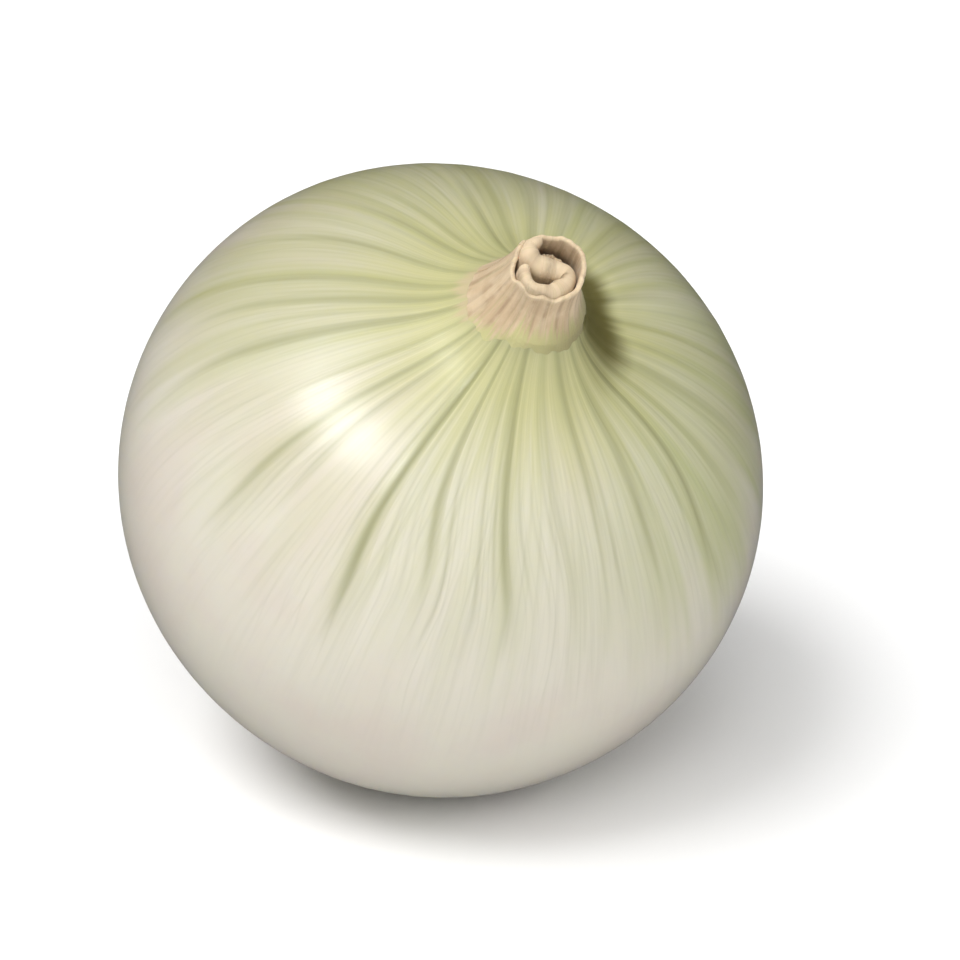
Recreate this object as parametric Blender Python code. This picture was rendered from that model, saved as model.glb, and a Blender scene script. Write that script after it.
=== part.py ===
"""One white onion bulb, as picked and trimmed: the bulb, its dried neck and its tuft of cut roots.

Each piece is modelled upright, root end down and neck up, round the bulb's own axis, and is then swayed so
that the neck sits a little to one side. An empty lays the whole onion over on its side, where it rests on a
small flat spot at the origin.
"""

import math
import random
from typing import NamedTuple

import bmesh
import bpy
from mathutils import Euler, Matrix, Vector

MM = 0.001

# The bulb, a slightly flattened globe
BULB_RADIUS = 42.0 * MM
BULB_HALF_HEIGHT = 37.8 * MM

# How the onion lies: the lean of its axis from upright, and the side it leans to, turned from +X
LEAN = math.radians(38)
LEAN_TOWARDS = math.radians(-86)
REST_DEPTH = 0.9 * MM  # the underside that its own weight has pressed flat

# The neck grows to one side of the bulb's axis
NECK_SWAY = math.radians(14)
NECK_SWAY_TOWARDS = math.radians(108)

# The shoulder sweeps up into the neck and ends in an uneven lip round a socket
SHOULDER_RADIUS = 18.0 * MM
SHOULDER_RISE = 4.6 * MM
SHOULDER_POWER = 3.0
LIP_RADIUS = 6.4 * MM
LIP_THICKNESS = 0.8 * MM
LIP_UNEVEN = 0.7 * MM
SOCKET_DEPTH = 3.4 * MM

# The hollow at the root end, and the recess that the root plate fills
HOLLOW_RADIUS = 15.0 * MM
HOLLOW_DEPTH = 1.4 * MM
PLATE_RADIUS = 7.0 * MM
RECESS_DEPTH = 2.0 * MM
PLATE_DOME = 1.1 * MM

# Raised veins, which run from the neck to the roots
VEINS = 28
COLUMNS_PER_VEIN = 4
CREST_SHARE = (1.0, 0.22, 0.0, 0.22)  # how far each column stands out, from a vein to the next
VEIN_RISE = 0.3 * MM
BODY_RINGS = 30
SHOULDER_RINGS = 6

# The dried leaf sheaths of the neck, which nest in one another
SHEATH_CELLS_ROUND = 26
SHEATH_CELLS_UP = 6
SHEATH_TEETH = 0.35 * MM
RIM_LOW_SIDE = math.radians(-30)  # every rim is cut lower on this side, turned from the bulb's own X
HOLLOW_SIDE = math.radians(150)  # the inner sheaths stand off centre, towards this side
NECK_FLATTEN = 0.1  # the dried neck is this share narrower one way and wider the other
PLUG_ABOVE_LIP = 0.6 * MM
CORE_RADIUS = 1.15 * MM
CORE_RISE = 5.0 * MM

# Cut roots
ROOTLETS = 54
ROOTLET_RADIUS = 0.45 * MM
ROOTLET_LENGTHS = (2.6 * MM, 5.4 * MM)
ROOTLET_SIDES = 5
ROOTLET_BENDS = 3
ROOTLET_SPLAY = math.radians(46)
ROOTLET_SUNK = 0.9 * MM
ROOTLET_TAPER = 0.88  # each ring of a rootlet against the one before
ROOTLET_FLOOR_GAP = 0.5 * MM

FIT_GAP = 0.3 * MM  # between pieces that touch
SEED = 11


class Sheath(NamedTuple):
    """One dried leaf sheath of the neck, curled round the axis."""

    foot: float  # radius at the foot
    rim: float  # radius at the rim
    wall: float  # thickness
    wrap: float  # how far round it reaches
    opens: float  # where its open side faces
    height: float  # mean height of its rim above the bulb's lip
    slope: float  # how far its rim rises and falls
    shift: float  # how far its rim stands off the axis


SHEATHS = (
    Sheath(5.0 * MM, 4.35 * MM, 0.8 * MM, math.radians(340), math.radians(235), 7.4 * MM, 0.9 * MM, 0.0),
    Sheath(3.6 * MM, 3.05 * MM, 1.0 * MM, math.radians(320), math.radians(20), 8.0 * MM, 0.7 * MM, 0.35 * MM),
    Sheath(2.2 * MM, 1.85 * MM, 0.7 * MM, math.radians(300), math.radians(200), 7.2 * MM, 0.5 * MM, 0.5 * MM),
)


def clear_scene():
    """Removes whatever the scene holds."""
    for obj in list(bpy.data.objects):
        bpy.data.objects.remove(obj)


def material(name, colour, roughness):
    """A plain Principled material."""
    made = bpy.data.materials.new(name)
    made.use_nodes = True
    shader = made.node_tree.nodes["Principled BSDF"]
    shader.inputs["Base Color"].default_value = (*colour, 1.0)
    shader.inputs["Roughness"].default_value = roughness
    shader.inputs["Metallic"].default_value = 0.0
    return made


def add_object(name, bm, surface=None):
    """Turns a bmesh into an object with flat or smooth faces, in the scene."""
    mesh = bpy.data.meshes.new(name)
    bm.to_mesh(mesh)
    bm.free()
    obj = bpy.data.objects.new(name, mesh)
    bpy.context.scene.collection.objects.link(obj)
    if surface is not None:
        mesh.materials.append(surface)
        mesh.shade_smooth()
        mesh.set_sharp_from_angle(angle=math.radians(50))
    return obj


def spun(profile, columns):
    """A closed bmesh, turned about Z from (radius, height) points that run from the axis back to the axis."""
    bm = bmesh.new()
    line = [bm.verts.new((radius, 0.0, height)) for radius, height in profile]
    edges = [bm.edges.new(pair) for pair in zip(line, line[1:])]
    bmesh.ops.spin(
        bm,
        geom=line + edges,
        cent=(0, 0, 0),
        axis=(0, 0, 1),
        angle=math.tau,
        steps=columns,
        use_duplicate=False,
    )
    bmesh.ops.remove_doubles(bm, verts=bm.verts, dist=0.001 * MM)
    bmesh.ops.recalc_face_normals(bm, faces=bm.faces)
    return bm


def sway(bm):
    """Bends an upright piece so that its neck end moves to one side and its root end stays."""
    hinge = Vector((-math.sin(NECK_SWAY_TOWARDS), math.cos(NECK_SWAY_TOWARDS), 0.0))
    for vert in bm.verts:
        share = (1 + math.cos(vert.co.angle(Vector((0, 0, 1)), 0.0))) / 2
        vert.co = Matrix.Rotation(NECK_SWAY * share, 3, hinge) @ vert.co


def turn_noise(angle, offset):
    """A smooth wave round the axis, between about -1 and 1, that doesn't look regular."""
    return (
        0.50 * math.sin(2 * angle + 1.3 * offset)
        + 0.30 * math.sin(3 * angle + 2.1 * offset + 1.0)
        + 0.20 * math.sin(5 * angle + 0.7 * offset + 2.0)
    )


def shoulder_rise(radius):
    """How far the neck lifts the shoulder above the plain globe, at a distance from the axis."""
    reach = (SHOULDER_RADIUS - radius) / (SHOULDER_RADIUS - LIP_RADIUS)
    return SHOULDER_RISE * max(0.0, reach) ** SHOULDER_POWER


def root_hollow(radius):
    """How far the root end is drawn in, at a distance from the axis."""
    reach = max(0.0, 1 - (radius / HOLLOW_RADIUS) ** 2)
    return HOLLOW_DEPTH * reach**2


def globe_height(radius):
    """Height of the plain globe's upper half at a distance from the axis."""
    return BULB_HALF_HEIGHT * math.sqrt(1 - (radius / BULB_RADIUS) ** 2)


def upper_height(radius):
    """Height of the bulb's top at a distance from the axis."""
    return globe_height(radius) + shoulder_rise(radius)


def lower_height(radius):
    """Height of the bulb's underside at a distance from the axis."""
    return root_hollow(radius) - globe_height(radius)


def lip_height():
    """Mean height of the lip round the neck."""
    return upper_height(LIP_RADIUS)


def recess_floor():
    """Height of the floor of the root plate's recess."""
    return lower_height(PLATE_RADIUS) + RECESS_DEPTH


def bulb_profile():
    """Outline from the middle of the root recess, round the outside, to the middle of the neck's socket."""
    recess = PLATE_RADIUS + FIT_GAP
    points = [(0.0, recess_floor()), (recess, recess_floor())]
    start = -math.acos((recess + 0.3 * MM) / BULB_RADIUS)
    end = math.acos(SHOULDER_RADIUS / BULB_RADIUS)
    for ring in range(BODY_RINGS + 1):
        turn = start + (end - start) * ring / BODY_RINGS
        radius = BULB_RADIUS * math.cos(turn)
        height = BULB_HALF_HEIGHT * math.sin(turn)
        points.append((radius, height + (root_hollow(radius) if turn < 0 else 0.0)))
    for ring in range(1, SHOULDER_RINGS + 1):
        share = ring / SHOULDER_RINGS
        radius = SHOULDER_RADIUS + (LIP_RADIUS - SHOULDER_RADIUS) * math.sin(share * math.pi / 2)
        points.append((radius, upper_height(radius)))
    inner = LIP_RADIUS - LIP_THICKNESS
    points.append((inner, lip_height() - 0.1 * MM))
    points.append((inner, lip_height() - SOCKET_DEPTH))
    points.append((0.0, lip_height() - SOCKET_DEPTH))
    return points


def raise_veins(bm):
    """Lifts every fourth column into a vein, spaces the veins unevenly and makes the lip uneven."""
    columns = VEINS * COLUMNS_PER_VEIN
    for vert in bm.verts:
        radius = math.hypot(vert.co.x, vert.co.y)
        if radius < 0.5 * MM:
            continue
        angle = math.atan2(vert.co.y, vert.co.x)
        column = round(angle / math.tau * columns) % columns
        outside = radius > LIP_RADIUS - 0.1 * MM
        if outside and radius > PLATE_RADIUS + 2 * FIT_GAP:
            strength = 0.15 + 0.85 * max(0.0, vert.co.z / BULB_HALF_HEIGHT) ** 1.5
            fade = min(1.0, (radius - LIP_RADIUS) / (9.0 * MM) + 0.3)
            vein = CREST_SHARE[column % COLUMNS_PER_VEIN]
            size = 0.75 + 0.5 * math.sin(2.4 * (column // COLUMNS_PER_VEIN)) ** 2
            vert.co += vert.co.normalized() * VEIN_RISE * strength * fade * vein * size
            vert.co += Vector((vert.co.x, vert.co.y, 0)) * 0.006 * turn_noise(angle, 0.4)
        if vert.co.z > lip_height() - 0.6 * MM:
            vert.co.z += LIP_UNEVEN * turn_noise(angle, 1.7)
        moved = angle + 0.045 * turn_noise(angle, 3.0)
        radius = math.hypot(vert.co.x, vert.co.y)
        vert.co.x, vert.co.y = radius * math.cos(moved), radius * math.sin(moved)


def cut_rest_spot(bm, placed):
    """Cuts the underside level with the surface that the onion lies on, and closes it flat."""
    back = placed.inverted()
    floor = back @ Vector((0, 0, 0))
    down = back.to_3x3() @ Vector((0, 0, -1))
    cut = bmesh.ops.bisect_plane(
        bm,
        geom=bm.verts[:] + bm.edges[:] + bm.faces[:],
        plane_co=floor,
        plane_no=down,
        clear_outer=True,
    )
    rim = [piece for piece in cut["geom_cut"] if isinstance(piece, bmesh.types.BMEdge)]
    bmesh.ops.edgeloop_fill(bm, edges=rim)
    bmesh.ops.recalc_face_normals(bm, faces=bm.faces)


def make_bulb(surface):
    """The bulb, and the matrix that lays the onion down on its flat spot."""
    bm = spun(bulb_profile(), VEINS * COLUMNS_PER_VEIN)
    raise_veins(bm)
    sway(bm)
    lean = Euler((0.0, LEAN, LEAN_TOWARDS)).to_matrix()
    lowest = min((lean @ vert.co for vert in bm.verts), key=lambda point: point.z)
    centre = Vector((-lowest.x, -lowest.y, -lowest.z - REST_DEPTH))
    placed = Matrix.Translation(centre) @ lean.to_4x4()
    cut_rest_spot(bm, placed)
    return add_object("bulb", bm, surface), placed


def make_sheath(name, sizes, offset):
    """One dried leaf sheath: a grid curled round the axis, open on one side, with a torn sloping rim."""
    bm = bmesh.new()
    bmesh.ops.create_grid(
        bm, x_segments=SHEATH_CELLS_ROUND, y_segments=SHEATH_CELLS_UP, size=0.5
    )
    low = lip_height() - SOCKET_DEPTH + 2 * FIT_GAP
    for vert in bm.verts:
        across = vert.co.x + 0.5
        up = vert.co.y + 0.5
        angle = sizes.opens + (math.tau - sizes.wrap) / 2 + sizes.wrap * across
        torn = -sizes.slope * math.cos(angle - RIM_LOW_SIDE)
        torn += SHEATH_TEETH * (turn_noise(2 * angle, offset) + 0.5 * math.sin(9 * angle + offset))
        top = lip_height() + sizes.height + torn
        radius = sizes.foot + (sizes.rim - sizes.foot) * up
        radius += 0.18 * MM * up * turn_noise(2 * angle, offset + 1.0)
        flatten = NECK_FLATTEN * up
        vert.co = Vector((
            radius * (1 - flatten) * math.cos(angle) + sizes.shift * up * math.cos(HOLLOW_SIDE),
            radius * (1 + flatten) * math.sin(angle) + sizes.shift * up * math.sin(HOLLOW_SIDE),
            low + (top - low) * up,
        ))
    bmesh.ops.recalc_face_normals(bm, faces=bm.faces)
    obj = add_object(name, bm)
    wall = obj.modifiers.new("wall", "SOLIDIFY")
    wall.thickness = sizes.wall
    wall.offset = 0.0
    return obj


def neck_plug():
    """The solid foot of the neck that fills the bulb's socket."""
    low = lip_height() - SOCKET_DEPTH + FIT_GAP
    top = lip_height() + PLUG_ABOVE_LIP
    wide = LIP_RADIUS - LIP_THICKNESS - FIT_GAP
    profile = [(0.0, low), (wide - FIT_GAP, low), (wide, low + FIT_GAP), (wide, top - 0.8 * MM),
               (wide - 0.5 * MM, top), (0.0, top + 0.3 * MM)]
    return add_object("neck", spun(profile, 40))


def neck_core():
    """The shrivelled leaf ends in the middle of the neck."""
    low = lip_height() - FIT_GAP
    profile = [(0.0, low), (CORE_RADIUS * 1.2, low), (CORE_RADIUS, low + 0.6 * CORE_RISE),
               (CORE_RADIUS * 0.9, low + 0.9 * CORE_RISE), (0.0, low + CORE_RISE)]
    bm = spun(profile, 10)
    for vert in bm.verts:
        angle = math.atan2(vert.co.y, vert.co.x)
        vert.co.x *= 1 + 0.25 * turn_noise(angle, 0.9)
        vert.co.y *= 1 + 0.25 * turn_noise(angle, 2.2)
    return add_object("neck_core", bm)


def join(base, parts, surface, solver):
    """Fuses parts into base with one Boolean union, applies it and removes the parts."""
    group = bpy.data.collections.new(base.name + "_parts")
    bpy.context.scene.collection.children.link(group)
    for part in parts:
        bpy.context.scene.collection.objects.unlink(part)
        group.objects.link(part)
    union = base.modifiers.new("fuse", "BOOLEAN")
    union.operation = "UNION"
    union.operand_type = "COLLECTION"
    union.collection = group
    union.solver = solver
    graph = bpy.context.evaluated_depsgraph_get()
    bm = bmesh.new()
    bm.from_mesh(bpy.data.meshes.new_from_object(base.evaluated_get(graph)))
    name = base.name
    for part in [*parts, base]:
        bpy.data.objects.remove(part)
    bpy.data.collections.remove(group)
    sway(bm)
    return add_object(name, bm, surface)


def make_neck(surface):
    """The dried neck: three curled sheaths and a core, fused at their foot."""
    sheaths = [
        make_sheath(f"sheath_{number}", sizes, 1.0 + 2.3 * number)
        for number, sizes in enumerate(SHEATHS, 1)
    ]
    return join(neck_plug(), [*sheaths, neck_core()], surface, "EXACT")


def root_plate():
    """The low dome that the roots grow from, in the recess under the bulb."""
    top = recess_floor() - FIT_GAP
    rim = lower_height(PLATE_RADIUS)
    profile = [(0.0, rim - PLATE_DOME), (0.4 * PLATE_RADIUS, rim - 0.8 * PLATE_DOME),
               (0.75 * PLATE_RADIUS, rim - 0.4 * PLATE_DOME), (PLATE_RADIUS, rim + FIT_GAP),
               (PLATE_RADIUS, top), (0.0, top)]
    return add_object("roots", spun(profile, 30))


def rootlet(name, foot, direction, length, curl):
    """One cut root: a few-sided tube that bends towards curl as it leaves the plate."""
    bm = bmesh.new()
    step = (length + ROOTLET_SUNK) / ROOTLET_BENDS
    middle = foot.copy()
    heading = direction.copy()
    radius = ROOTLET_RADIUS
    rings = []
    for _ in range(ROOTLET_BENDS + 1):
        across = heading.to_track_quat("Z", "Y").to_matrix()
        turns = [math.tau * side / ROOTLET_SIDES for side in range(ROOTLET_SIDES)]
        spots = [Vector((radius * math.cos(turn), radius * math.sin(turn), 0.0)) for turn in turns]
        rings.append([bm.verts.new(middle + across @ spot) for spot in spots])
        middle = middle + heading * step
        heading = (heading + curl).normalized()
        radius *= ROOTLET_TAPER
    for below, above in zip(rings, rings[1:]):
        for side in range(ROOTLET_SIDES):
            after = (side + 1) % ROOTLET_SIDES
            bm.faces.new((below[side], below[after], above[after], above[side]))
    bm.faces.new(rings[0])
    bm.faces.new(rings[-1])
    bmesh.ops.recalc_face_normals(bm, faces=bm.faces)
    return add_object(name, bm)


def make_roots(surface, placed):
    """The root plate and its cut roots, spread by the golden angle and kept clear of the floor."""
    draw = random.Random(SEED)
    plate = root_plate()
    rim = lower_height(PLATE_RADIUS)
    golden = math.pi * (3 - math.sqrt(5))
    lets = []
    for number in range(ROOTLETS):
        share = math.sqrt((number + 0.5) / ROOTLETS)
        angle = number * golden + draw.uniform(-0.2, 0.2)
        out = Vector((math.cos(angle), math.sin(angle), 0.0))
        splay = ROOTLET_SPLAY * share + draw.uniform(-0.15, 0.15)
        heading = (out * math.sin(splay) - Vector((0, 0, math.cos(splay)))).normalized()
        reach = (PLATE_RADIUS - 1.3 * MM) * share
        dome = rim - PLATE_DOME * (1 - share**2)
        foot = out * reach + Vector((0, 0, dome)) - heading * ROOTLET_SUNK
        curl = Vector([draw.uniform(-0.22, 0.22) for _ in range(3)])
        length = draw.uniform(*ROOTLET_LENGTHS)
        drop = (placed.to_3x3() @ heading).z
        room = (placed @ foot).z - ROOTLET_FLOOR_GAP - 2 * ROOTLET_RADIUS
        if drop < 0:
            length = min(length, room / -drop - ROOTLET_SUNK)
        lets.append(rootlet(f"rootlet_{number}", foot, heading, length, curl))
    return join(plate, lets, surface, "MANIFOLD")


def main():
    """Builds the three pieces and lays them down together."""
    clear_scene()
    bulb, placed = make_bulb(material("white_scale", (0.72, 0.71, 0.55), 0.3))
    neck = make_neck(material("dry_neck", (0.62, 0.45, 0.33), 0.75))
    roots = make_roots(material("dry_roots", (0.55, 0.44, 0.29), 0.85), placed)
    lie = bpy.data.objects.new("onion_axis", None)
    bpy.context.scene.collection.objects.link(lie)
    lie.matrix_world = placed
    for piece in (bulb, neck, roots):
        piece.parent = lie


main()
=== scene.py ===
"""The look of one white onion, lying on a pale surface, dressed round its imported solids."""

import logging
import math
import random
from collections.abc import Callable
from dataclasses import dataclass, field
from enum import Enum

import bpy
from mathutils import Euler, Matrix, Vector


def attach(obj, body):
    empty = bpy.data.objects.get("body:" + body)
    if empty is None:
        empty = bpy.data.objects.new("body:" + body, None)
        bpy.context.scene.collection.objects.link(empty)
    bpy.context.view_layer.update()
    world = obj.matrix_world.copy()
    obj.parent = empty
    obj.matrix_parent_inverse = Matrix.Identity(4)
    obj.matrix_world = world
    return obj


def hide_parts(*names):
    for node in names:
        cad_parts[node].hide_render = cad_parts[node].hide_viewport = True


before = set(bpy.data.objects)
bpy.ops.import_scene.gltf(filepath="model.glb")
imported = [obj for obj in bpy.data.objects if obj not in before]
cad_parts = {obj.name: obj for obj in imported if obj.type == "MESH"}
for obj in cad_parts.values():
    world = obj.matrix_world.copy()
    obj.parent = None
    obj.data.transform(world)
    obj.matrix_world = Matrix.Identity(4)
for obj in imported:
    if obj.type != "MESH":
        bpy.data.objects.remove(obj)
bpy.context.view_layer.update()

MM = 0.001
BODY = "root"
LOG = logging.getLogger("onion")

Number = float | int
Value = Number | bpy.types.NodeSocket
Colour = tuple[float, float, float]


class Slot(Enum):
    """The record's material slots."""

    SKIN = "skin"
    NECK = "neck"
    ROOTS = "roots"


def colour(red: int, green: int, blue: int) -> Colour:
    """Turns a screen colour into the linear colour that a shader takes.

    Args:
        red: Red, from 0 to 255.
        green: Green, from 0 to 255.
        blue: Blue, from 0 to 255.

    Returns:
        The linear colour.
    """
    shares = (channel / 255 for channel in (red, green, blue))
    return tuple(s / 12.92 if s <= 0.04045 else ((s + 0.055) / 1.055) ** 2.4 for s in shares)


def wave(angle: float, offset: float) -> float:
    """A smooth wave round the axis that doesn't look regular.

    Args:
        angle: The angle round the axis.
        offset: Which wave of the family this is.

    Returns:
        A height between about -1 and 1.
    """
    return (
        0.50 * math.sin(2 * angle + 1.3 * offset)
        + 0.30 * math.sin(3 * angle + 2.1 * offset + 1.0)
        + 0.20 * math.sin(5 * angle + 0.7 * offset + 2.0)
    )


def smooth(low: float, high: float, value: float) -> float:
    """A soft step.

    Args:
        low: Where the step starts.
        high: Where the step ends.
        value: The place on the step.

    Returns:
        0 at low, 1 at high, and a smooth rise between.
    """
    share = max(0.0, min(1.0, (value - low) / (high - low)))
    return share * share * (3 - 2 * share)


def along(points: list[Vector], share: float) -> Vector:
    """A place on the smooth curve through a few points.

    Args:
        points: The points.
        share: How far along, from 0 to 1.

    Returns:
        The place.
    """
    spans = len(points) - 1
    index = min(spans - 1, int(share * spans))
    local = share * spans - index
    here, there = points[index], points[index + 1]
    before = points[index - 1] if index > 0 else here * 2 - there
    after = points[index + 2] if index + 2 <= spans else there * 2 - here
    return 0.5 * (
        2 * here
        + (there - before) * local
        + (2 * before - 5 * here + 4 * there - after) * local**2
        + (3 * here - before - 3 * there + after) * local**3
    )


def deselect_all() -> None:
    """Leaves object mode with nothing selected."""
    if bpy.context.mode != "OBJECT":
        bpy.ops.object.mode_set(mode="OBJECT")
    bpy.ops.object.select_all(action="DESELECT")


def start_piece(name: str) -> bpy.types.Object:
    """Names the primitive that was just added.

    Args:
        name: The piece's name.

    Returns:
        The piece.
    """
    piece = bpy.context.active_object
    piece.name = name
    piece.data.name = name
    return piece


def reshape(piece: bpy.types.Object, shape: Callable[[Vector], Vector]) -> None:
    """Moves every point of a piece.

    Args:
        piece: The piece.
        shape: Gives a point's new place from its old one.
    """
    for vert in piece.data.vertices:
        vert.co = shape(vert.co.copy())
    piece.data.update()


def keep_numbers(piece: bpy.types.Object, name: str, numbers: list[float]) -> None:
    """Stores one number for each point, for the piece's material to read.

    Args:
        piece: The piece.
        name: The attribute's name.
        numbers: A number for each point.
    """
    stored = piece.data.attributes.new(name, "FLOAT", "POINT")
    stored.data.foreach_set("value", numbers)


def keep_vectors(piece: bpy.types.Object, name: str, vectors: list[Vector]) -> None:
    """Stores one vector for each point, for the piece's material to read.

    Args:
        piece: The piece.
        name: The attribute's name.
        vectors: A vector for each point.
    """
    stored = piece.data.attributes.new(name, "FLOAT_VECTOR", "POINT")
    stored.data.foreach_set("vector", [part for vector in vectors for part in vector])


def turn_map(piece: bpy.types.Object, turns: list[float | None], places: list[float]) -> None:
    """Gives a round piece a UV map: how far round the axis, and how far along it.

    Args:
        piece: The piece.
        turns: Each point's place round the axis, from 0 to 1, or None on the axis itself.
        places: Each point's place along the axis.
    """
    mesh = piece.data
    layer = mesh.uv_layers.active or mesh.uv_layers.new(name="UVMap")
    for face in mesh.polygons:
        known = [turns[index] for index in face.vertices if turns[index] is not None]
        first = known[0]
        near = [first + (turn - first + 0.5) % 1.0 - 0.5 for turn in known]
        middle = sum(near) / len(near)
        for loop in face.loop_indices:
            index = mesh.loops[loop].vertex_index
            turn = turns[index]
            spread = 0.0 if turn is None else (turn - middle + 0.5) % 1.0 - 0.5
            layer.data[loop].uv = (middle + spread, places[index])


def finish_mesh(piece: bpy.types.Object) -> None:
    """Merges doubles, turns the faces outwards and shades them smoothly.

    Args:
        piece: The piece.
    """
    deselect_all()
    piece.select_set(True)
    bpy.context.view_layer.objects.active = piece
    bpy.ops.object.mode_set(mode="EDIT")
    bpy.ops.mesh.select_all(action="SELECT")
    bpy.ops.mesh.remove_doubles(threshold=0.001 * MM)
    bpy.ops.mesh.normals_make_consistent(inside=False)
    bpy.ops.object.mode_set(mode="OBJECT")
    bpy.ops.object.shade_smooth()
    piece.select_set(False)


def apply_modifiers(piece: bpy.types.Object) -> None:
    """Applies a piece's modifiers, first to last.

    Args:
        piece: The piece.
    """
    deselect_all()
    piece.select_set(True)
    bpy.context.view_layer.objects.active = piece
    for modifier in list(piece.modifiers):
        bpy.ops.object.modifier_apply(modifier=modifier.name)
    piece.select_set(False)


def hand_over(piece: bpy.types.Object, finish: bpy.types.Material, slot: Slot, node: str) -> None:
    """Dresses a piece, lets it ride on the onion and stand for a solid.

    Args:
        piece: The piece.
        finish: Its material.
        slot: Not used.
        node: The solid that it stands for.
    """
    piece.data.materials.clear()
    piece.data.materials.append(finish)
    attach(piece, BODY)
    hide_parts(node)
    LOG.info("%s: %d faces", piece.name, len(piece.data.polygons))


@dataclass(frozen=True)
class Vein:
    """One main vein: how far off the middle of its share of the turn, where it ends, and its strength."""

    aside: float
    end: float
    strength: float


@dataclass
class Veins:
    """The skin's main veins, one to each even share of the turn round the axis."""

    count: int = 28
    seed: int = 12
    height: float = 0.11 * MM
    half_width: float = 0.13
    front: float = math.radians(347)
    drift: float = 0.75
    drift_from: float = 0.6
    asides: tuple[float, float] = (-0.3, 0.3)
    ends: tuple[float, float] = (0.42, 0.8)
    strengths: tuple[float, float] = (0.3, 0.85)
    drawn: list[Vein] = field(default_factory=list)

    def __post_init__(self) -> None:
        """Draws the veins at random, then sets the ones that show at the front."""
        draw = random.Random(self.seed)
        self.drawn = [
            Vein(draw.uniform(*self.asides), draw.uniform(*self.ends), draw.uniform(*self.strengths))
            for _ in range(self.count)
        ]
        for number, aside, end, strength in (
            (17, 0.0, 0.62, 0.55), (18, 0.3, 0.58, 0.5), (19, 0.3, 0.5, 0.45), (20, -0.1, 0.42, 0.6),
            (21, -0.2, 0.4, 0.75), (22, 0.0, 0.72, 0.4), (23, 0.05, 0.4, 0.8), (24, -0.3, 0.55, 0.4),
            (25, 0.3, 0.4, 1.0), (26, 0.35, 0.58, 0.65), (27, 0.2, 0.78, 0.25), (0, -0.1, 0.5, 0.85),
            (1, 0.2, 0.45, 0.3), (2, 0.0, 0.72, 0.5), (3, 0.1, 0.5, 0.6), (4, 0.35, 0.42, 0.75),
            (5, 0.3, 0.5, 0.4), (6, 0.2, 0.5, 0.55),
        ):
            self.drawn[number] = Vein(aside, end, strength)

    def read_at(self, angle: float, rise: float) -> float:
        """The angle at which the even pattern is read, so that the veins drift a little on their way up.

        Args:
            angle: The even angle round the axis.
            rise: Height over half the onion's height.

        Returns:
            The angle.
        """
        off = angle - self.front
        share = self.drift * math.cos(2 * off) * max(0.0, math.cos(off))
        drift = share * (smooth(self.drift_from, 1.0, rise) - 0.35)
        drift += 0.07 * math.sin(5 * angle + 7 * rise) + 0.05 * math.sin(11 * angle - 9 * rise + 2.0)
        return angle + drift * math.tau / self.count

    def relief(self, angle: float, rise: float) -> float:
        """Height of the veins' low ridges.

        Args:
            angle: The even angle round the axis.
            rise: Height over half the onion's height.

        Returns:
            The height.
        """
        phase = self.read_at(angle, rise) / math.tau * self.count
        vein = self.drawn[round(phase) % self.count]
        off = abs(phase - round(phase) - vein.aside)
        return self.height * math.exp(-((off / self.half_width) ** 2)) * vein.strength


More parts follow.
